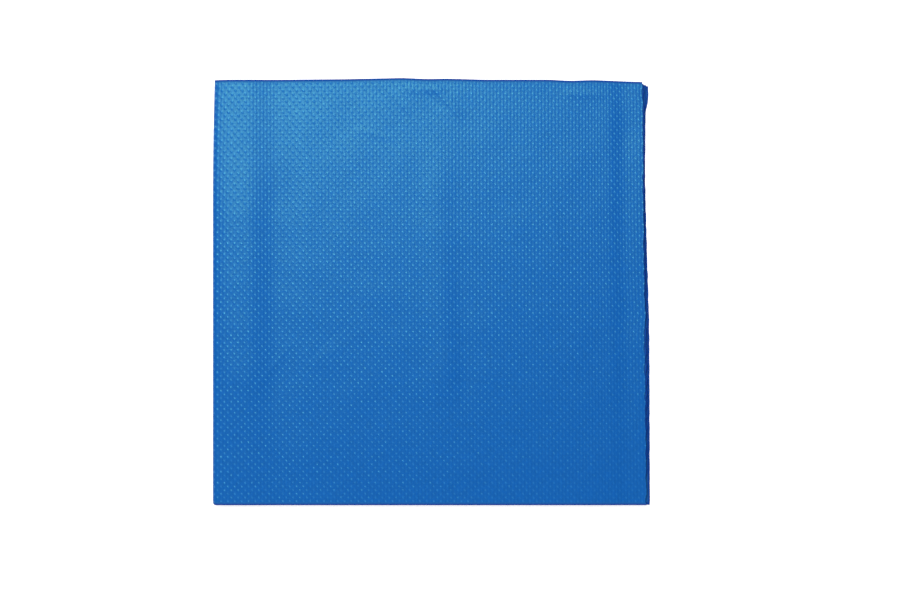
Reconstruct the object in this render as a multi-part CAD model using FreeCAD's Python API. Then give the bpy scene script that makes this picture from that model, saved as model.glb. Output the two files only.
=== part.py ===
import FreeCAD, Part
import os
from math import atan, cos, degrees, pi, sin

# A small paper napkin: one thin square sheet folded in half twice.
# The first fold lies along the near edge (-Y) and makes a pair of layers.
# The last fold lies along the left edge (-X) and wraps that pair round, so
# four layers lie on each other. Their cut edges show at the right and far
# sides, where they don't quite line up. +Z is up, and the napkin lies flat.
# All sizes are in millimetres.

# The folded size, from each fold to the layer that reaches furthest
folded_length = 125.0
folded_width = 122.0

# The sheet, with its embossing, and the air that the folding leaves in it
sheet_thickness = 0.32
gap_in_pair = 0.14
least_gap_between_pairs = 0.18
last_fold_inner_radius = 0.30

# How the upper pair lies: distances from the last fold, and the heights of
# the top layer there. The fold springs open to a soft shoulder, then the
# layers settle into a dip. A low ridge crosses the middle.
shoulder_from_fold = 7.0
shoulder_height = 2.85
dip_from_fold = 19.5
dip_height = 1.98
plain_from_fold = 29.0
plain_height = 2.12
ridge_from_fold = 66.0
ridge_height = 2.42
ridge_half_width = 5.0

# Beside the cut edges the upper pair dips once more and turns up in a lip
dip_width_at_edge = 8.5
dip_from_edge = 4.8
edge_dip_height = 1.90
lip_height = 2.10

# The far cut edge of each layer, counted up from the bottom one. Each pair
# of numbers is a share of the way from the fold to the right, and how far
# the edge is set back there from the folded width.
far_start_of_outer_layers = 0.52
far_start_of_inner_layers = 0.95
far_edge_1 = [(0.35, 0.85), (0.70, 1.25), (0.93, 1.75), (0.995, 2.55)]
far_edge_2 = [(0.40, 1.00), (0.80, 1.40), (0.99, 2.10)]
far_edge_3 = [(0.35, 0.80), (0.75, 1.10), (0.985, 1.70)]
far_edge_4 = [(0.15, 0.52), (0.30, 0.36), (0.435, 0.00), (0.51, 0.32), (0.62, 0.50),
              (0.77, 0.50), (0.82, 0.80), (0.87, 0.62), (0.975, 1.10)]

# The right cut edge of each layer, from the far corner to the first fold.
# Each pair of numbers is a share of the way back to that fold, and how far
# the edge is set back there from the folded length. Both layers of a pair
# end level at the first fold, where they are one sheet.
right_end_of_lower_pair = 0.0
right_end_of_upper_pair = 1.20
right_edge_1 = [(0.03, 0.55), (0.09, 1.30), (0.24, 1.36), (0.42, 0.75), (0.58, 0.16), (0.80, 0.04)]
right_edge_2 = [(0.03, 1.15), (0.30, 1.60), (0.60, 0.55), (0.90, 0.40)]
right_edge_3 = [(0.03, 1.80), (0.35, 1.75), (0.70, 1.05), (0.92, 1.05)]
right_edge_4 = [(0.03, 2.30), (0.30, 2.05), (0.46, 1.85), (0.55, 1.50), (0.61, 1.80), (0.78, 1.48)]

# Sizes that follow from those
pair_thickness = 2 * sheet_thickness + gap_in_pair
left = -folded_length / 2
right = folded_length / 2
first_fold_outside = -folded_width / 2
far = folded_width / 2
first_fold_centre = first_fold_outside + pair_thickness / 2
last_fold_reach = last_fold_inner_radius + pair_thickness
height_between_pairs = pair_thickness + least_gap_between_pairs / 2
cutter_overhang = 5.0

UP = FreeCAD.Vector(0, 0, 1)
ALONG_FIRST_TURN = FreeCAD.Vector(0, 1, 0)


def at(x, z, y=0.0):
    return FreeCAD.Vector(x, y, z)


class Route:
    """The line that the inner face of a pair follows, seen along +Y.

    It is straight runs and tangent arcs. A turn is positive towards the
    inside of the last fold, and the heading is an angle from +X.
    """

    def __init__(self, x, z, heading):
        self.x = x
        self.z = z
        self.heading = heading
        self.runs = []

    def outward(self):
        return at(-sin(self.heading), cos(self.heading))

    def start(self):
        return at(self.x, self.z)

    def straight(self, length):
        step = at(cos(self.heading), sin(self.heading)) * length
        self.runs.append((self.start(), self.outward(), step, None, 0.0))
        self.x += step.x
        self.z += step.z

    def turn(self, radius, angle):
        """Follow an arc round an axis parallel to Y."""
        side = 1 if angle > 0 else -1
        centre = self.start() - self.outward() * (side * radius)
        self.runs.append((self.start(), self.outward(), None, centre, angle))
        self.heading -= angle
        end = centre + self.outward() * (side * radius)
        self.x = end.x
        self.z = end.z

    def ramp(self, x, z):
        """Go from level to level at another height, by two like arcs."""
        length = x - self.x
        rise = z - self.z
        if abs(rise) < 1e-6:
            self.straight(length)
            return
        angle = 2 * atan(rise / length)
        radius = length / (2 * sin(abs(angle)))
        self.turn(radius, -angle)
        self.turn(radius, angle)

    def lift(self, x, z):
        """Leave the level in one arc that ends at the point given."""
        length = x - self.x
        rise = z - self.z
        angle = 2 * atan(rise / length)
        self.turn(length / sin(abs(angle)), -angle)


def pair_route():
    """The whole way of the folded pair: lower run, last fold, upper run."""
    route = Route(right, pair_thickness, pi)
    fold_centre = left + last_fold_reach
    route.straight(right - fold_centre)

    # The fold turns a little less than half round, and a wide arc brings
    # the upper pair level at its shoulder.
    shoulder = left + shoulder_from_fold
    shoulder_rise = shoulder_height - 2 * last_fold_reach
    spring = 2 * atan(shoulder_rise / (shoulder - fold_centre))
    shoulder_radius = last_fold_inner_radius + (shoulder - fold_centre) / sin(spring)
    route.turn(last_fold_inner_radius, pi - spring)
    route.turn(shoulder_radius, spring)

    ridge = left + ridge_from_fold
    edge_dip = right - dip_from_edge
    route.ramp(left + dip_from_fold, dip_height - pair_thickness)
    route.ramp(left + plain_from_fold, plain_height - pair_thickness)
    route.ramp(ridge - ridge_half_width, plain_height - pair_thickness)
    route.ramp(ridge, ridge_height - pair_thickness)
    route.ramp(ridge + ridge_half_width, plain_height - pair_thickness)
    route.ramp(edge_dip - dip_width_at_edge, plain_height - pair_thickness)
    route.ramp(edge_dip, edge_dip_height - pair_thickness)
    route.lift(right, lip_height - pair_thickness)
    return route


def carry(route, section):
    """Carry a flat section, drawn by its own function, along the route."""
    pieces = []
    for start, outward, step, centre, angle in route.runs:
        face = section(start, outward)
        if step is not None:
            pieces.append(face.extrude(step))
        else:
            pieces.append(face.revolve(centre, ALONG_FIRST_TURN, degrees(angle)))
    return pieces[0].fuse(pieces[1:]).removeSplitter()


def layer_section(inner, outer):
    """The section of one layer, between two distances out from the route."""
    def section(start, outward):
        low = start + outward * inner
        high = start + outward * outer
        near_low = at(low.x, low.z, first_fold_centre)
        near_high = at(high.x, high.z, first_fold_centre)
        far_high = at(high.x, high.z, far)
        far_low = at(low.x, low.z, far)
        corners = [near_low, near_high, far_high, far_low, near_low]
        return Part.Face(Part.makePolygon(corners))
    return section


def first_fold_section(start, outward):
    """The half ring that joins the two layers of a pair at the first fold."""
    middle = start + outward * (pair_thickness / 2)
    middle.y = first_fold_centre
    towards_edge = FreeCAD.Vector(0, -1, 0)

    def half_ring(radius):
        ends = middle - outward * radius, middle + outward * radius
        return ends, Part.Arc(ends[0], middle + towards_edge * radius, ends[1]).toShape()

    inside, inside_arc = half_ring(gap_in_pair / 2)
    outside, outside_arc = half_ring(pair_thickness / 2)
    walls = [Part.makeLine(inside[0], outside[0]), Part.makeLine(inside[1], outside[1])]
    return Part.Face(Part.Wire(Part.__sortEdges__([inside_arc, outside_arc] + walls)))


def curve(points, first_direction=None):
    """A smooth line through the points, at one height."""
    line = Part.BSplineCurve()
    if first_direction is None:
        line.interpolate(points)
    else:
        line.interpolate(points, InitialTangent=first_direction, FinalTangent=points[-1] - points[-2])
    return line.toShape()


def outside_of_layer(far_start, far_edge, right_end, right_edge, bottom, top):
    """What is cut away round a layer, between two heights."""
    shoulder = left + shoulder_from_fold
    far_side = far + cutter_overhang
    right_side = right + cutter_overhang
    near_side = first_fold_outside - cutter_overhang

    far_points = [at(shoulder, bottom, far - far_start)]
    for share, setback in far_edge:
        far_points.append(at(left + share * folded_length, bottom, far - setback))
    right_points = []
    for share, setback in right_edge:
        y = far - share * (far - first_fold_centre)
        right_points.append(at(right - setback, bottom, y))
    right_points.append(at(right - right_end, bottom, first_fold_centre))

    beside_fold = at(left - cutter_overhang, bottom, far - far_start)
    round_it = [right_points[-1],
                at(right - right_end, bottom, near_side),
                at(right_side, bottom, near_side),
                at(right_side, bottom, far_side),
                at(left - cutter_overhang, bottom, far_side),
                beside_fold,
                far_points[0]]
    edges = [curve(far_points, FreeCAD.Vector(1, 0, 0)),
             Part.makeLine(far_points[-1], right_points[0]),
             curve(right_points)]
    for one, other in zip(round_it, round_it[1:]):
        edges.append(Part.makeLine(one, other))
    face = Part.Face(Part.Wire(Part.__sortEdges__(edges)))
    return face.extrude(UP * (top - bottom))


def napkin():
    """Both layers of the folded pair, the first fold, and the cut edges."""
    route = pair_route()
    under = -cutter_overhang
    over = shoulder_height + ridge_height + cutter_overhang
    middle = height_between_pairs

    cut_1 = outside_of_layer(far_start_of_outer_layers, far_edge_1,
                             right_end_of_lower_pair, right_edge_1, under, middle)
    cut_2 = outside_of_layer(far_start_of_inner_layers, far_edge_2,
                             right_end_of_lower_pair, right_edge_2, under, middle)
    cut_3 = outside_of_layer(far_start_of_inner_layers, far_edge_3,
                             right_end_of_upper_pair, right_edge_3, middle, over)
    cut_4 = outside_of_layer(far_start_of_outer_layers, far_edge_4,
                             right_end_of_upper_pair, right_edge_4, middle, over)

    inner = carry(route, layer_section(0.0, sheet_thickness))
    outer = carry(route, layer_section(sheet_thickness + gap_in_pair, pair_thickness))
    fold = carry(route, first_fold_section)

    inner = inner.cut([cut_2, cut_3])
    outer = outer.cut([cut_1, cut_4])
    fold = fold.cut([cut_1, cut_4])
    return outer.fuse([inner, fold]).removeSplitter()


shape = napkin()
if len(shape.Solids) != 1:
    raise RuntimeError("the napkin is one sheet, but came out as %d solids" % len(shape.Solids))
os.makedirs("parts", exist_ok=True)
shape.Solids[0].exportStep("parts/napkin_sheet.step")
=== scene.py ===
"""A small paper napkin, folded in quarters, in blue embossed tissue.

The napkin is made as the real one is: a flat sheet is embossed with a fine
grid of points, then folded in half twice and laid on a pale table.
"""

from math import pi, radians

import bmesh
import bpy
import numpy as np
from mathutils import Matrix, Vector


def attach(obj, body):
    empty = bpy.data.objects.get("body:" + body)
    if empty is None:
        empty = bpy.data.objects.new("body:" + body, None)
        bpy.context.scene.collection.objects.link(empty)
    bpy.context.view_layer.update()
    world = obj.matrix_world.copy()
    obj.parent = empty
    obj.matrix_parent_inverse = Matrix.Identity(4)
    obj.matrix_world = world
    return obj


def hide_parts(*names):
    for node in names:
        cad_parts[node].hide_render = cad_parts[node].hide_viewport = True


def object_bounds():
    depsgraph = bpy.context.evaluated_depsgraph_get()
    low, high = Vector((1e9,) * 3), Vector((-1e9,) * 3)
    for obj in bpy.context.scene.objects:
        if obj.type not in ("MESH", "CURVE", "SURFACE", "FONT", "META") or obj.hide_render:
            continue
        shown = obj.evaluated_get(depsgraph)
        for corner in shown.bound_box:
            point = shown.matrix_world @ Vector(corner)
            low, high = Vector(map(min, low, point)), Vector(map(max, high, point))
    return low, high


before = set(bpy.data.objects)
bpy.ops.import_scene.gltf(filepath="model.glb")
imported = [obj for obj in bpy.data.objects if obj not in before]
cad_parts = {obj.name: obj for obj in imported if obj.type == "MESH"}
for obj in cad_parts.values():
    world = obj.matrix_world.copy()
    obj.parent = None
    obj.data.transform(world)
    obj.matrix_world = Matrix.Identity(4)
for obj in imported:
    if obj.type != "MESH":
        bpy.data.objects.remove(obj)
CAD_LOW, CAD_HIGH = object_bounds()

bl_info = {
    "name": "Folded Paper Napkin",
    "version": (1, 0, 0),
    "blender": (4, 5, 0),
    "location": "View3D > Sidebar > Napkin",
    "description": "Folds an embossed tissue napkin in quarters and lights it on a pale table",
    "category": "Object",
}

MM = 0.001
NODE = "napkin_sheet"
PIECE = "napkin_tissue"

# The folded napkin, from its frame
LEFT, FIRST_FOLD = CAD_LOW.x, CAD_LOW.y
RIGHT, FAR = CAD_HIGH.x, CAD_HIGH.y

# The embossing rolls leave a raised point at every second crossing of a fine
# grid. One step of that grid is half the distance between points in a row.
STEPS_ACROSS = 128
STEPS_ALONG = 116

# The mesh starts as blocks of this many steps each way, and only the parts
# that show are divided further
BLOCK = 4

# Where the mesh is too coarse for points, the sheet keeps their mean height
MEAN_HEIGHT = 0.4

# The points lean: this far to the left for each step towards the far side
SLANT = 0.45

# Half the width of the strip of sheet that goes round the last fold, and the
# width of the strip along a cut edge that is painted dark as shade, in steps
LAST_FOLD_HALF = 1.5
EDGE_SHADE_WIDTH = 0.4

# How the upper two layers lie: distances from the last fold, and the height
# of the top layer there. The fold springs open to a soft shoulder.
SHOULDER = (9.5 * MM, 2.80 * MM)
DIP_START = (18.8 * MM, 1.92 * MM)
DIP_END = (21.0 * MM, 1.92 * MM)
PLAIN_START = (27.4 * MM, 2.22 * MM)
PLAIN_END = (114.0 * MM, 2.22 * MM)
EDGE_DIP = (119.4 * MM, 1.88 * MM)
LIP = (125.0 * MM, 2.04 * MM)

# Those forms fade across the napkin's width: places in millimetres from its
# middle, towards the far edge, and how much of the form is left there
SHOULDER_BY_WIDTH = [(-61, 0.35), (-45, 0.40), (-25, 1.0), (22, 1.0), (42, 0.62), (61, 0.55)]
EDGE_DIP_BY_WIDTH = [(-61, 0.55), (-20, 0.65), (20, 0.80), (45, 0.90), (61, 0.6)]

# Cut edges: shares of the way from the fold, and how far the edge is set
# back there from the furthest layer
FAR_EDGES = {
    "bottom": [(0, 0.52), (0.35, 0.85), (0.70, 1.25), (0.93, 1.75), (1, 2.25)],
    "second": [(0, 0.95), (0.40, 1.00), (0.80, 1.40), (1, 1.95)],
    "third": [(0, 0.95), (0.35, 0.80), (0.75, 1.10), (1, 1.70)],
    "top": [(0, 0.62), (0.03, 0.52), (0.15, 0.52), (0.30, 0.36), (0.435, 0.00), (0.495, 0.34),
            (0.53, 0.18), (0.62, 0.50), (0.77, 0.50), (0.815, 0.84), (0.87, 0.60), (1, 1.15)],
}
RIGHT_EDGES = {
    "bottom": [(0, 0.42), (0.038, 0.45), (0.056, 1.05), (0.08, 1.25), (0.24, 1.36), (0.42, 0.75),
               (0.58, 0.16), (0.80, 0.04), (1, 0)],
    "second": [(0, 1.15), (0.30, 1.62), (0.60, 0.62), (0.90, 0.46), (1, 0)],
    "third": [(0, 1.80), (0.35, 1.75), (0.70, 1.05), (1, 1.20)],
    "top": [(0, 2.45), (0.04, 2.25), (0.30, 2.05), (0.46, 1.85), (0.55, 1.45), (0.61, 1.80),
            (0.78, 1.45), (1, 1.20)],
}
EDGE_REACH = 22 * MM

# The knife leaves the right edges a little ragged, the lower pair's less so
RAGGED_REACH = 1.6 * MM
RAGGED = 0.13 * MM
RAGGED_BELOW = 0.35 * RAGGED

# The last fold leans in towards its far end, from this place on
LEAN_START = 25 * MM
LEAN = 0.55 * MM

# Soft wrinkles of the top layers: both ends in the plane of the table, the
# half width and the height, in millimetres
WRINKLES = [
    (2.2, 32, 2.8, 12, 4.3, 0.17),
    (3.3, -4, 4.0, -22, 4.3, 0.24),
    (7.5, 0, 9.5, -24, 3.4, -0.12),
    (-14.5, 59, -8.5, 53, 0.9, 0.06),
    (-5.5, 60, 1.5, 54, 1.1, -0.06),
    (-1.0, 61, 7.0, 52, 1.2, 0.10),
    (40.5, 57.2, 47.5, 56.8, 1.3, 0.08),
    (-5.5, 57.8, 1.0, 57.8, 1.0, 0.07),
    (-48.0, -25, -41.0, -16, 0.9, 0.035),
    (-34.0, -18, -26.0, -11, 0.9, -0.02),
    (-31.0, -19, -21.0, -12, 0.9, 0.012),
    (-20.0, 46, -13.0, 44, 0.8, 0.04),
    (34.0, 22, 37.0, 13, 1.4, 0.03),
    (22.0, 10, 27.0, -2, 2.2, -0.03),
]

# Half the width of the table
FLOOR_HALF = 2.5

# The soft lamp at the upper left
KEY_PLACE = (-0.126, 0.209, 0.548)
KEY_SIZE = 0.20

# In the picture: its width and the napkin's, in pixels, how far the napkin's
# middle lies to the left of the picture's and above it, and the height at
# which the napkin's width was taken
PICTURE_PIXELS = 900
NAPKIN_PIXELS = 437.2
PIXELS_LEFT = 18.6
PIXELS_ABOVE = 8.3
WIDTH_HEIGHT = 0.9 * MM


class NapkinSizes(bpy.types.PropertyGroup):
    """Sizes of the sheet and of its embossing."""

    thickness: bpy.props.FloatProperty(
        name="Sheet thickness",
        description="Both plies together, measured over the raised points",
        default=0.32 * MM, unit="LENGTH")
    gap: bpy.props.FloatProperty(
        name="Gap in a pair",
        description="Air between the two layers that the first fold joins",
        default=0.14 * MM, unit="LENGTH")
    fold_radius: bpy.props.FloatProperty(
        name="Last fold's inner radius",
        description="Radius inside the fold that wraps all four layers",
        default=0.30 * MM, unit="LENGTH")
    point_height: bpy.props.FloatProperty(
        name="Point height",
        description="Height of the embossed points over the hollows between them",
        default=0.04 * MM, unit="LENGTH")
    rib_share: bpy.props.FloatProperty(
        name="Rib share",
        description="Share of the height that the columns of points have in common, as ribs",
        default=0.30, min=0, max=1, subtype="FACTOR")
    corner: bpy.props.FloatProperty(
        name="Folded corner",
        description="How far the corner where both folds meet is rounded off",
        default=0.8 * MM, unit="LENGTH")
    uneven_points: bpy.props.FloatProperty(
        name="Uneven points",
        description="How much the points differ in height, as a share of it",
        default=0.17, min=0, max=1, subtype="FACTOR")
    undulation: bpy.props.FloatProperty(
        name="Undulation",
        description="Height of each of the slow waves in the top layers",
        default=0.005 * MM, unit="LENGTH")
    seed: bpy.props.IntProperty(
        name="Seed",
        description="Chooses the unevenness of the points and of the lie",
        default=7)


class NapkinFinish(bpy.types.PropertyGroup):
    """Colours of the dyed tissue, as sRGB hex values."""

    dye: bpy.props.StringProperty(
        name="Dye", description="Colour of the tissue", default="#014EA0")
    # The tips colour is partly the points' own, stretched thin, and partly a painted highlight
    tips: bpy.props.StringProperty(
        name="Tips", description="Colour of the raised points, where the tissue is stretched thin",
        default="#2772B2")
    hollows: bpy.props.StringProperty(
        # The hollows colour is painted shade, beside each point and between the ribs
        name="Hollows", description="Colour of the hollows between the points", default="#004593")
    # The edge colour is painted shade along the cut edges and creases
    edge: bpy.props.StringProperty(
        name="Edges", description="Colour of the cut edges and creases, where the tissue is dense",
        default="#001E84")
    fuzz: bpy.props.StringProperty(
        name="Fuzz", description="Colour of the bloom that the loose fibres catch",
        default="#8FFAD0")


class NapkinStudio(bpy.types.PropertyGroup):
    """The table, the lamps and the camera."""

    floor: bpy.props.StringProperty(
        name="Floor", description="Colour of the table", default="#F4F4F4")
    key_power: bpy.props.FloatProperty(
        name="Key light", description="Power of the soft lamp at the upper left",
        default=2.3, unit="POWER")
    even_light: bpy.props.FloatProperty(
        name="Even light", description="Strength of the even light from all round",
        default=0.88, min=0)
    camera_height: bpy.props.FloatProperty(
        name="Camera height", description="Height of the camera above the table",
        default=0.72, unit="LENGTH")


def linear(hex_colour):
    """An sRGB hex colour as linear red, green, blue and alpha."""
    parts = [int(hex_colour[i:i + 2], 16) / 255 for i in (1, 3, 5)]
    return [c / 12.92 if c <= 0.04045 else ((c + 0.055) / 1.055) ** 2.4 for c in parts] + [1.0]


def add(tree, kind, settings=None, **inputs):
    """Adds a node. An input is a value, or another node's socket to link.

    Inputs go by their names, or as i and a number by their places.
    """
    made = tree.nodes.new(kind)
    for name, value in (settings or {}).items():
        setattr(made, name, value)
    for name, value in inputs.items():
        key = int(name[1:]) if name[0] == "i" and name[1:].isdigit() else name.replace("_", " ")
        if isinstance(value, bpy.types.NodeSocket):
            tree.links.new(value, made.inputs[key])
        else:
            made.inputs[key].default_value = value
    return made


def new_material(name):
    """An empty material, its node tree and its Principled shader."""
    material = bpy.data.materials.new(name)
    material.use_nodes = True
    tree = material.node_tree
    return material, tree, tree.nodes["Principled BSDF"]


def soft_step(t):
    """0 to 1, level at both ends."""
    t = np.clip(t, 0, 1)
    return t * t * (3 - 2 * t)


def wavy(stations, share):
    """A smooth line through a cut edge's stations, in metres."""
    at = [s for s, _ in stations]
    setback = [d for _, d in stations]
    spread = np.linspace(-0.012, 0.012, 5)
    return MM * sum(np.interp(share + d, at, setback) for d in spread) / len(spread)


def flat_sheet(sizes):
    """The flat sheet in steps of the embossing grid, with its two faces at z 0.5 and -0.5.

    Only the layers and edges that show are divided finely.
    """
    bm = bmesh.new()
    scale = Matrix.Diagonal((STEPS_ACROSS, STEPS_ALONG, 1, 1))
    bmesh.ops.create_grid(bm, x_segments=2 * STEPS_ACROSS // BLOCK,
                          y_segments=2 * STEPS_ALONG // BLOCK, size=1, matrix=scale)
    bmesh.ops.recalc_face_normals(bm, faces=bm.faces[:])
    for face in bm.faces:
        if face.normal.z < 0:
            face.normal_flip()
    bmesh.ops.solidify(bm, geom=bm.faces[:], thickness=1)
    lowest = min(v.co.z for v in bm.verts)
    bmesh.ops.translate(bm, verts=bm.verts[:], vec=(0, 0, -0.5 - lowest))

    def divide(shows, cuts):
        edges = {e for f in bm.faces if shows(f.calc_center_median()) for e in f.edges}
        bmesh.ops.subdivide_edges(bm, edges=list(edges), cuts=cuts, use_grid_fill=True,
                                  use_single_edge=True)

    def outside_or_edge(c):
        outside_of_fold = c.z > 0.4 and c.y > -BLOCK
        beside_cut = abs(c.x) > STEPS_ACROSS - BLOCK or abs(c.y) > STEPS_ALONG - BLOCK
        return outside_of_fold or (beside_cut and abs(c.z) > 0.4)

    def top_layer(c):
        return c.z > 0.4 and c.y > -BLOCK and c.x > -BLOCK

    divide(outside_or_edge, BLOCK - 1)
    divide(top_layer, 1)

    def cut_across(axis, at):
        normal = Vector((0, 0, 0))
        normal[axis] = 1
        bmesh.ops.bisect_plane(bm, geom=bm.verts[:] + bm.edges[:] + bm.faces[:],
                               dist=1e-4, plane_co=normal * at, plane_no=normal)

    half_bend = first_fold_half(sizes)
    for share in (-1, -2 / 3, -1 / 3, 1 / 3, 2 / 3, 1):
        cut_across(1, share * half_bend)
    for at in np.arange(-LAST_FOLD_HALF, LAST_FOLD_HALF + 0.01, 0.25):
        cut_across(0, at)
    for side in (-1, 1):
        cut_across(0, side * (STEPS_ACROSS - EDGE_SHADE_WIDTH))
        cut_across(1, side * (STEPS_ALONG - EDGE_SHADE_WIDTH))
    return bm


def first_fold_half(sizes):
    """Half the width of the strip that goes round the first fold, in steps."""
    bend = pi / 2 * (sizes.thickness + sizes.gap) / 2
    return bend / ((FAR - FIRST_FOLD) / STEPS_ALONG)


def depth(a, b):
    """How deep the points stand.

    The pack has pressed them flatter towards the first fold, and most of all
    where that ends at the right. The points' painted highlight and painted
    shade fade with it.
    """
    across = np.abs(a) / STEPS_ACROSS
    near = 1 - np.abs(b) / STEPS_ALONG
    return 1.35 - 0.55 * near - 0.5 * across * near


def emboss(a, b, face, sizes, random):
    """Height of the embossing, from 0 in the hollows to 1 on the best points."""
    leaning = pi * a + SLANT / 2 * np.sin(2 * pi * b)
    ribs = (1 + np.cos(2 * pi * a)) / 2
    points = ((1 + np.cos(leaning) * np.cos(pi * b)) / 2) ** 3
    height = ((1 - sizes.rib_share) * points + sizes.rib_share * ribs) * depth(a, b)

    # Each point is pressed a little deeper or less deep than its neighbours.
    # Points stand where column and row add up to an even number.
    uneven = random.normal(1, sizes.uneven_points, (2 * STEPS_ACROSS + 1, 2 * STEPS_ALONG + 1))
    column = np.rint(a).astype(int)
    row = np.rint(b).astype(int)
    odd = (column + row) % 2
    row = np.where(odd == 1, row + np.where(b > row, 1, -1), row)
    row = np.clip(row, -STEPS_ALONG, STEPS_ALONG)
    height = height * np.clip(uneven[column + STEPS_ACROSS, row + STEPS_ALONG], 0.45, 1.25)

    # The rolled points flatten where the sheet is creased
    creased = np.exp(-(a / 1.2) ** 2) + np.exp(-(b / 1.0) ** 2)
    height = height * (1 - 0.5 * np.clip(creased, 0, 1))

    # Only the finely divided parts carry the points
    fine = (face > 0) & (b > -BLOCK + 0.5)
    beside_cut = (np.abs(a) > STEPS_ACROSS - BLOCK + 0.5) | (np.abs(b) > STEPS_ALONG - BLOCK + 0.5)
    return np.where(fine | beside_cut, np.minimum(height, 1), MEAN_HEIGHT)


def edge_shade(a, b, sizes):
    """Painted shade: 1 on the cut edges and the first crease, 0 away from them.

    The last crease gets half as much. The top layer's right edge gets none,
    because it is as light as the tissue beside it.
    """
    far_cut = np.clip(1.6 - (STEPS_ALONG - np.abs(b)) / EDGE_SHADE_WIDTH, 0, 1)
    right_cut = np.clip(1.6 - (STEPS_ACROSS - np.abs(a)) / EDGE_SHADE_WIDTH, 0, 1)
    top_layer = (a > 0) & (b > 0)
    beside_cut = np.maximum(far_cut, right_cut * np.where(top_layer, 0, 1))
    crease = np.clip(1.8 - np.abs(b) / first_fold_half(sizes), 0, 1)
    last_crease = 0.5 * np.clip(1 - np.abs(a - 0.2), 0, 1)
    return np.maximum(np.maximum(beside_cut, crease), last_crease)


def relief(x, y, sizes, random):
    """Unevenness of the two upper layers, over the plan."""
    height = np.zeros_like(x)
    for x0, y0, x1, y1, width, rise in np.array(WRINKLES) * MM:
        along = np.array([x1 - x0, y1 - y0])
        length = np.hypot(*along)
        along = along / length
        t = (x - x0) * along[0] + (y - y0) * along[1]
        off = (x - x0) * -along[1] + (y - y0) * along[0]
        past = np.maximum(np.maximum(-t, t - length), 0)
        height += rise * np.exp(-(off / width) ** 2 - (past / (2.2 * width)) ** 2)
    # Slow waves, 9 to 38 mm long, that run all ways
    for _ in range(14):
        length = random.uniform(9, 38) * MM
        turn, phase = random.uniform(0, 2 * pi, 2)
        wave = (x * np.cos(turn) + y * np.sin(turn)) * 2 * pi / length + phase
        height += sizes.undulation * np.sin(wave)
    return height


def by_width(stations, y):
    """How strong a form is, at a place across the napkin's width."""
    at = [place * MM for place, _ in stations]
    return np.interp(y, at, [share for _, share in stations])


def inner_height(distance, y, pair, fold_top, start):
    """Height of the upper pair's inner face, at a distance from the last fold."""
    level = PLAIN_START[1]
    shoulder_share = by_width(SHOULDER_BY_WIDTH, y)
    dip_share = by_width(EDGE_DIP_BY_WIDTH, y)

    def station(place):
        share = np.where(place[0] > PLAIN_START[0], dip_share, shoulder_share)
        return level + (place[1] - level) * share - pair

    t = np.clip((distance - start) / (SHOULDER[0] - start), 0, 1)
    made = station(SHOULDER) - (station(SHOULDER) - fold_top) * (1 - t) ** 3
    before = SHOULDER
    for after in (DIP_START, DIP_END, PLAIN_START, PLAIN_END, EDGE_DIP, LIP):
        t = soft_step((distance - before[0]) / (after[0] - before[0]))
        made = made + t * (station(after) - station(before))
        before = after
    return made, station(SHOULDER)


def fold(a, b, outward, sizes, random):
    """Where a point of the flat sheet comes to lie, once both folds are made.

    a and b are its steps from the two folds, and outward is how far it is
    from the middle of the sheet's thickness.
    """
    pair = 2 * sizes.thickness + sizes.gap
    half_bend = first_fold_half(sizes)
    bend_middle = FIRST_FOLD + pair / 2
    bend_radius = (sizes.thickness + sizes.gap) / 2

    # The first fold: the sheet's two halves lie one on the other, as a pair
    turn = np.clip(b / half_bend, -1, 1) * pi / 2
    past_bend = np.maximum(np.abs(b) - half_bend, 0) / (STEPS_ALONG - half_bend)
    y = bend_middle - (bend_radius + outward) * np.cos(turn) + past_bend * (FAR - bend_middle)
    out = pair / 2 + (bend_radius + outward) * np.sin(turn)

    # The last fold: the pair goes round it and comes back on top of itself
    fold_x = LEFT + sizes.fold_radius + pair
    fold_z = sizes.fold_radius + pair
    past_fold = np.maximum(np.abs(a) - LAST_FOLD_HALF, 0) / (STEPS_ACROSS - LAST_FOLD_HALF)
    distance = (fold_x - LEFT) + past_fold * (RIGHT - fold_x)

    # Where the upper inner face leaves the fold, and how steeply it rises there
    fold_top = fold_z + sizes.fold_radius
    start = fold_x - LEFT
    level, shoulder = inner_height(distance, y, pair, fold_top, start)
    spring = np.arctan(3 * (shoulder - fold_top) / (SHOULDER[0] - start))
    uneven = relief(LEFT + distance, y, sizes, random)
    # The wrinkles fade out over the last way to the fold
    level = level + uneven * soft_step((distance - start) / (6 * MM))

    # Past the fold the layers lean with the slope of their lie
    share = (a + LAST_FOLD_HALF) / (2 * LAST_FOLD_HALF)
    round_fold = np.clip(share, 0, 1) * (pi - spring)
    reach = 0.05 * MM
    ahead, _ = inner_height(distance + reach, y, pair, fold_top, start)
    behind, _ = inner_height(distance - reach, y, pair, fold_top, start)
    slope = np.where(past_fold > 0, (ahead - behind) / (2 * reach), np.tan(spring))
    tilt = np.arctan(slope)
    beyond = share > 1
    normal_x = np.where(beyond, -np.sin(tilt), -np.sin(round_fold))
    normal_z = np.where(beyond, np.cos(tilt), -np.cos(round_fold))

    end_x = fold_x - sizes.fold_radius * np.sin(spring)
    base_x = np.where(beyond, end_x + past_fold * (RIGHT - end_x), fold_x)
    base_x = np.where(share < 0, LEFT + distance, base_x)
    base_z = np.where(beyond, level, fold_z)
    base_z = np.where(share < 0, fold_z, base_z)
    off = np.where(beyond, out, out + sizes.fold_radius)
    return base_x + normal_x * off, y, base_z + normal_z * off


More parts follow.
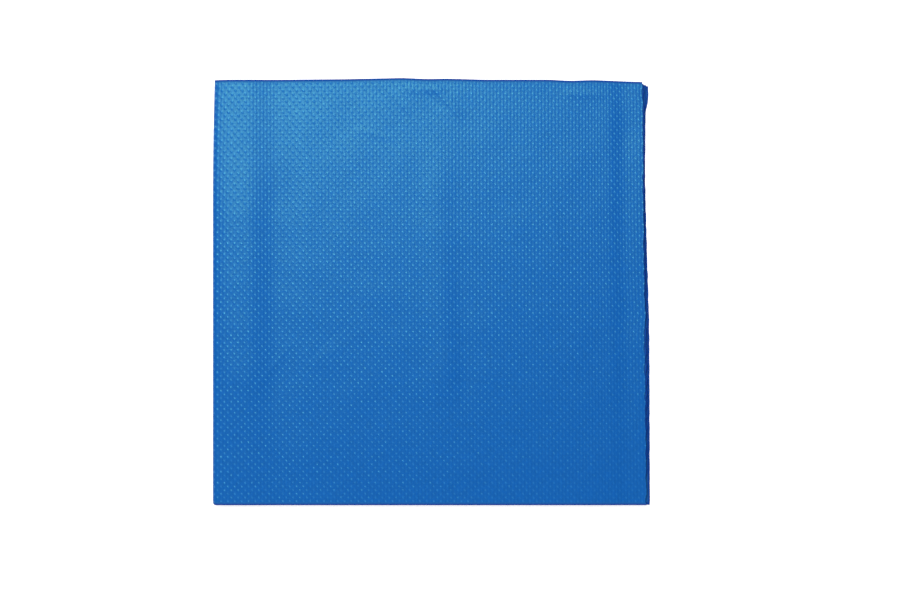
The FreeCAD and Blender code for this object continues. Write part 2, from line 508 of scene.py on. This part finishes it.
def trim_edges(x, y, a, b, random):
    """Draws the last stretch of each layer in or out to its own cut edge."""
    # An uneven line for each pair, without the slow drift of its random steps
    line = np.cumsum(random.normal(0, 1, (2, 2 * STEPS_ALONG + 1)), axis=1)
    line = line - (np.roll(line, 2, axis=1) + np.roll(line, -2, axis=1)) / 2
    places = np.arange(-STEPS_ALONG, STEPS_ALONG + 1)
    for name, upper, outer in (("bottom", False, True), ("second", False, False),
                               ("third", True, False), ("top", True, True)):
        layer = ((a > 0) == upper) & ((b > 0) == outer)
        across = (x[layer] - LEFT) / (RIGHT - LEFT)
        back = (FAR - y[layer]) / (FAR - FIRST_FOLD)
        near_far = soft_step((y[layer] - FAR + EDGE_REACH) / EDGE_REACH)
        near_right = soft_step((x[layer] - RIGHT + EDGE_REACH) / EDGE_REACH)
        at_cut = np.clip((x[layer] - RIGHT + RAGGED_REACH) / RAGGED_REACH, 0, 1)
        ragged = np.clip(np.interp(b[layer], places, line[int(upper)]), -1, 1.4)
        y[layer] -= near_far * wavy(FAR_EDGES[name], across)
        x[layer] -= near_right * wavy(RIGHT_EDGES[name], back)
        x[layer] -= at_cut * ragged * (RAGGED if upper else RAGGED_BELOW)
    return x, y


def soften_outline(x, y, sizes):
    """Rounds the folded corner, and lets the last fold lean in at its far end."""
    inside_x = LEFT + sizes.corner
    inside_y = FIRST_FOLD + sizes.corner
    dx = np.minimum(x - inside_x, 0)
    dy = np.minimum(y - inside_y, 0)
    reach = np.maximum(-dx, -dy)
    shrink = np.where((dx < 0) & (dy < 0), reach / np.maximum(np.hypot(dx, dy), 1e-9), 1)
    x = np.where(dx < 0, inside_x + dx * shrink, x)
    y = np.where(dy < 0, inside_y + dy * shrink, y)
    lean = LEAN * np.clip((y - LEAN_START) / (FAR - LEAN_START), 0, 1) ** 2
    return x + lean * soft_step(1 - (x - LEFT) / (15 * MM)), y


def tissue_material(finish):
    """Dyed two-ply tissue, embossed between rolls.

    Dyed cellulose is deep in colour. Its loose fibres catch the lamp as a
    pale bloom, and here a wide tinted gloss stands for them. The points,
    stretched thin, look paler than the hollows between them; the tips colour
    is also a painted highlight, and the hollows colour painted shade.
    """
    material, tree, shader = new_material("dyed_embossed_tissue")
    flat = add(tree, "ShaderNodeUVMap", {"uv_map": "flat_sheet"}).outputs["UV"]
    sheet_mm = (2 * (RIGHT - LEFT) / MM, 2 * (FAR - FIRST_FOLD) / MM, 1)
    in_mm = add(tree, "ShaderNodeMapping", Vector=flat, Scale=sheet_mm).outputs["Vector"]

    def calc(operation, *values):
        sockets = {"i%d" % i: value for i, value in enumerate(values)}
        return add(tree, "ShaderNodeMath", {"operation": operation}, **sockets).outputs[0]

    def spots(aside, along, sharpness):
        """One soft spot beside each embossed point, at a distance in steps."""
        turns = add(tree, "ShaderNodeMapping", Vector=flat,
                    Location=(-pi * aside, -pi * along, 0),
                    Scale=(2 * pi * STEPS_ACROSS, 2 * pi * STEPS_ALONG, 1)).outputs["Vector"]
        part = add(tree, "ShaderNodeSeparateXYZ", Vector=turns).outputs
        leaning = calc("MULTIPLY_ADD", calc("SINE", calc("MULTIPLY", part["Y"], 2)), SLANT / 2,
                       part["X"])
        crossing = calc("MULTIPLY", calc("COSINE", leaning), calc("COSINE", part["Y"]))
        return calc("POWER", calc("MULTIPLY_ADD", crossing, 0.5, 0.5), sharpness)

    # The points are pressed unevenly, and stand on faint ribs along their columns
    pressed = add(tree, "ShaderNodeTexNoise", Vector=in_mm, Scale=1 / 1.1, Detail=2)
    uneven_depth = add(tree, "ShaderNodeMapRange", Value=pressed.outputs["Fac"], From_Min=0.28,
                       From_Max=0.72, To_Min=0.15, To_Max=1.45).outputs["Result"]
    depths = add(tree, "ShaderNodeAttribute", {"attribute_name": "depth"}).outputs["Fac"]
    # The painted highlight on the tips and the painted shade in the hollows scale with this
    # strength
    strength = calc("MULTIPLY", uneven_depth, depths)
    across = add(tree, "ShaderNodeSeparateXYZ", Vector=flat).outputs["X"]
    ribs = calc("MULTIPLY_ADD", calc("COSINE", calc("MULTIPLY", across, 4 * pi * STEPS_ACROSS)),
                0.5, 0.5)
    raised = calc("MULTIPLY", spots(0, 0, 6), strength)
    # A dip beside each point, towards the lower left; its colour below is a painted shadow
    sunk = calc("MULTIPLY", spots(-0.50, -0.35, 4), strength)

    # Fibres are about 0.02 mm wide, drawn ten times as wide so that they show
    fibre_way = add(tree, "ShaderNodeMapping", Vector=in_mm, Scale=(1, 0.45, 1),
                    Rotation=(0, 0, radians(8))).outputs["Vector"]
    fibres = add(tree, "ShaderNodeTexNoise", Vector=fibre_way, Scale=1 / 0.30, Detail=4,
                 Roughness=0.65).outputs["Fac"]
    # The pulp is uneven over a millimetre or two, as clouds
    clouds = add(tree, "ShaderNodeTexNoise", Vector=in_mm, Scale=1 / 1.8, Detail=3,
                 Roughness=0.6).outputs["Fac"]

    # Painted highlight: the points are mixed towards the tips colour, partly their own paler
    # tissue and partly a painted highlight
    tips_and_painted_highlight = add(tree, "ShaderNodeMix", {"data_type": "RGBA"}, i0=raised,
                  i6=linear(finish.dye), i7=linear(finish.tips)).outputs[2]
    # Painted shade: the hollows colour goes beside each point, as its painted shadow, and between
    # the ribs
    between = calc("MULTIPLY_ADD", sunk, 0.18, calc("MULTIPLY_ADD", ribs, -0.3, 0.3))
    with_painted_hollow_shade = add(tree, "ShaderNodeMix", {"data_type": "RGBA"}, i0=between,
                 i6=tips_and_painted_highlight, i7=linear(finish.hollows)).outputs[2]
    shade = calc("ADD", calc("MULTIPLY", fibres, 0.34), calc("MULTIPLY_ADD", clouds, 0.26, 0.72))
    uneven = add(tree, "ShaderNodeVectorMath", {"operation": "SCALE"}, Vector=with_painted_hollow_shade,
                 Scale=shade).outputs["Vector"]
    # Painted shade along the cut edges and creases: the edge colour is mixed in there
    at_edge_shade = add(tree, "ShaderNodeAttribute", {"attribute_name": "edge_shade"}).outputs["Fac"]
    with_edge_shade = add(tree, "ShaderNodeMix", {"data_type": "RGBA"}, i0=at_edge_shade, i6=uneven,
                i7=linear(finish.edge)).outputs[2]
    tree.links.new(with_edge_shade, shader.inputs["Base Color"])

    points = calc("MULTIPLY_ADD", ribs, 0.24, calc("MULTIPLY_ADD", sunk, -0.08, raised))
    height = calc("MULTIPLY_ADD", fibres, 0.70, points)
    bump = add(tree, "ShaderNodeBump", Height=height, Distance=0.070 * MM, Strength=1)
    tree.links.new(bump.outputs["Normal"], shader.inputs["Normal"])
    # The pressed tips are a little smoother, and the torn fibres of an edge are rough
    rough = calc("MULTIPLY_ADD", at_edge_shade, 0.65, calc("MULTIPLY_ADD", raised, -0.08, 0.33))
    tree.links.new(rough, shader.inputs["Roughness"])
    shader.inputs["IOR"].default_value = 1.47
    shader.inputs["Specular IOR Level"].default_value = 0.70
    shader.inputs["Specular Tint"].default_value = linear(finish.fuzz)
    return material


def make_napkin(sizes, finish):
    """The whole napkin, as one mesh at its place in the frame."""
    random = np.random.default_rng(sizes.seed)
    bm = flat_sheet(sizes)
    mesh = bpy.data.meshes.new(PIECE)
    bm.to_mesh(mesh)
    bm.free()

    flat = np.zeros(len(mesh.vertices) * 3)
    mesh.vertices.foreach_get("co", flat)
    a, b, face = flat.reshape(-1, 3).T
    height = emboss(a, b, face, sizes, random)
    # The outer face carries the points, and the inner one follows at half their height
    half = sizes.thickness / 2
    outward = np.where(face > 0, half - sizes.point_height * (1 - height),
                       sizes.point_height * height / 2 - half)

    x, y, z = fold(a, b, outward, sizes, random)
    x, y = trim_edges(x, y, a, b, random)
    x, y = soften_outline(x, y, sizes)
    mesh.vertices.foreach_set("co", np.stack([x, y, z], 1).ravel())
    mesh.update()

    corners = np.zeros(len(mesh.loops), int)
    mesh.loops.foreach_get("vertex_index", corners)
    uv = np.stack([a / STEPS_ACROSS, b / STEPS_ALONG], 1) / 2 + 0.5
    layer = mesh.uv_layers.new(name="flat_sheet")
    layer.data.foreach_set("uv", uv[corners].ravel())
    for name, values in (("edge_shade", edge_shade(a, b, sizes)), ("depth", depth(a, b))):
        attribute = mesh.attributes.new(name, "FLOAT", "POINT")
        attribute.data.foreach_set("value", values)

    mesh.polygons.foreach_set("use_smooth", [True] * len(mesh.polygons))
    mesh.set_sharp_from_angle(angle=radians(50))
    mesh.materials.append(tissue_material(finish))
    napkin = bpy.data.objects.new(PIECE, mesh)
    bpy.context.scene.collection.objects.link(napkin)
    return napkin


class NAPKIN_OT_fold_sheet(bpy.types.Operator):
    """Emboss the flat sheet, fold it in quarters and lay it in its frame"""

    bl_idname = "napkin.fold_sheet"
    bl_label = "Fold Napkin"

    def execute(self, context):
        napkin = make_napkin(context.scene.napkin_sizes, context.scene.napkin_finish)
        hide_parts(NODE)
        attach(napkin, "root")
        return {"FINISHED"}


def floor_material(colour):
    """A photographer's white table, lit a little from below so that shadows stay faint."""
    material, tree, shader = new_material("white_acrylic_table")
    grain = add(tree, "ShaderNodeTexNoise", Scale=900, Detail=2)
    bump = add(tree, "ShaderNodeBump", Height=grain.outputs["Fac"], Distance=0.02 * MM,
               Strength=0.3)
    tree.links.new(bump.outputs["Normal"], shader.inputs["Normal"])
    shader.inputs["Base Color"].default_value = linear(colour)
    shader.inputs["Roughness"].default_value = 0.8
    shader.inputs["Emission Color"].default_value = linear(colour)
    shader.inputs["Emission Strength"].default_value = 0.45
    return material


def lamp(name, size, power, place, towards):
    """A square soft lamp."""
    data = bpy.data.lights.new(name, "AREA")
    data.size = size
    data.energy = power
    made = bpy.data.objects.new(name, data)
    made.location = place
    made.rotation_euler = (Vector(towards) - Vector(place)).to_track_quat("-Z", "Y").to_euler()
    bpy.context.scene.collection.objects.link(made)
    return made


class NAPKIN_OT_set_stage(bpy.types.Operator):
    """Lay the pale table, hang the lamps and put the camera overhead"""

    bl_idname = "napkin.set_stage"
    bl_label = "Set Stage"

    def execute(self, context):
        studio = context.scene.napkin_studio
        bm = bmesh.new()
        bmesh.ops.create_grid(bm, x_segments=1, y_segments=1, size=FLOOR_HALF)
        mesh = bpy.data.meshes.new("floor")
        bm.to_mesh(mesh)
        bm.free()
        mesh.materials.append(floor_material(studio.floor))
        floor = bpy.data.objects.new("floor", mesh)
        context.scene.collection.objects.link(floor)

        lamp("key", KEY_SIZE, studio.key_power, KEY_PLACE, (0, 0, 0))
        world = bpy.data.worlds.new("even_light")
        world.use_nodes = True
        world.node_tree.nodes["Background"].inputs["Strength"].default_value = studio.even_light
        world.node_tree.nodes["Background"].inputs["Color"].default_value = (1, 1, 1, 1)
        context.scene.world = world
        # The even light stays out of the tissue's gloss, which it would make
        # redder and duller than in the photo
        world.cycles_visibility.glossy = False
        context.scene.view_settings.view_transform = "Standard"

        pixel = (RIGHT - LEFT) / NAPKIN_PIXELS
        data = bpy.data.cameras.new("camera")
        above = studio.camera_height - WIDTH_HEIGHT
        data.lens = data.sensor_width * above / (PICTURE_PIXELS * pixel)
        camera = bpy.data.objects.new("camera", data)
        camera.location = (PIXELS_LEFT * pixel, -PIXELS_ABOVE * pixel, studio.camera_height)
        context.scene.collection.objects.link(camera)
        context.scene.camera = camera
        return {"FINISHED"}


class NAPKIN_PT_panel(bpy.types.Panel):
    """Sizes, colours and steps of the napkin"""

    bl_idname = "NAPKIN_PT_panel"
    bl_label = "Folded Napkin"
    bl_space_type = "VIEW_3D"
    bl_region_type = "UI"
    bl_category = "Napkin"

    def draw(self, context):
        for group in (context.scene.napkin_sizes, context.scene.napkin_finish,
                      context.scene.napkin_studio):
            box = self.layout.box()
            for name in group.bl_rna.properties.keys():
                if name not in ("name", "rna_type"):
                    box.prop(group, name)
        self.layout.operator(NAPKIN_OT_fold_sheet.bl_idname)
        self.layout.operator(NAPKIN_OT_set_stage.bl_idname)


CLASSES = (NapkinSizes, NapkinFinish, NapkinStudio, NAPKIN_OT_fold_sheet, NAPKIN_OT_set_stage,
           NAPKIN_PT_panel)


def register():
    for made in CLASSES:
        bpy.utils.register_class(made)
    bpy.types.Scene.napkin_sizes = bpy.props.PointerProperty(type=NapkinSizes)
    bpy.types.Scene.napkin_finish = bpy.props.PointerProperty(type=NapkinFinish)
    bpy.types.Scene.napkin_studio = bpy.props.PointerProperty(type=NapkinStudio)


def unregister():
    del bpy.types.Scene.napkin_studio
    del bpy.types.Scene.napkin_finish
    del bpy.types.Scene.napkin_sizes
    for made in reversed(CLASSES):
        bpy.utils.unregister_class(made)


def main():
    register()
    bpy.ops.napkin.set_stage()
    bpy.ops.napkin.fold_sheet()


if __name__ == "__main__":
    main()
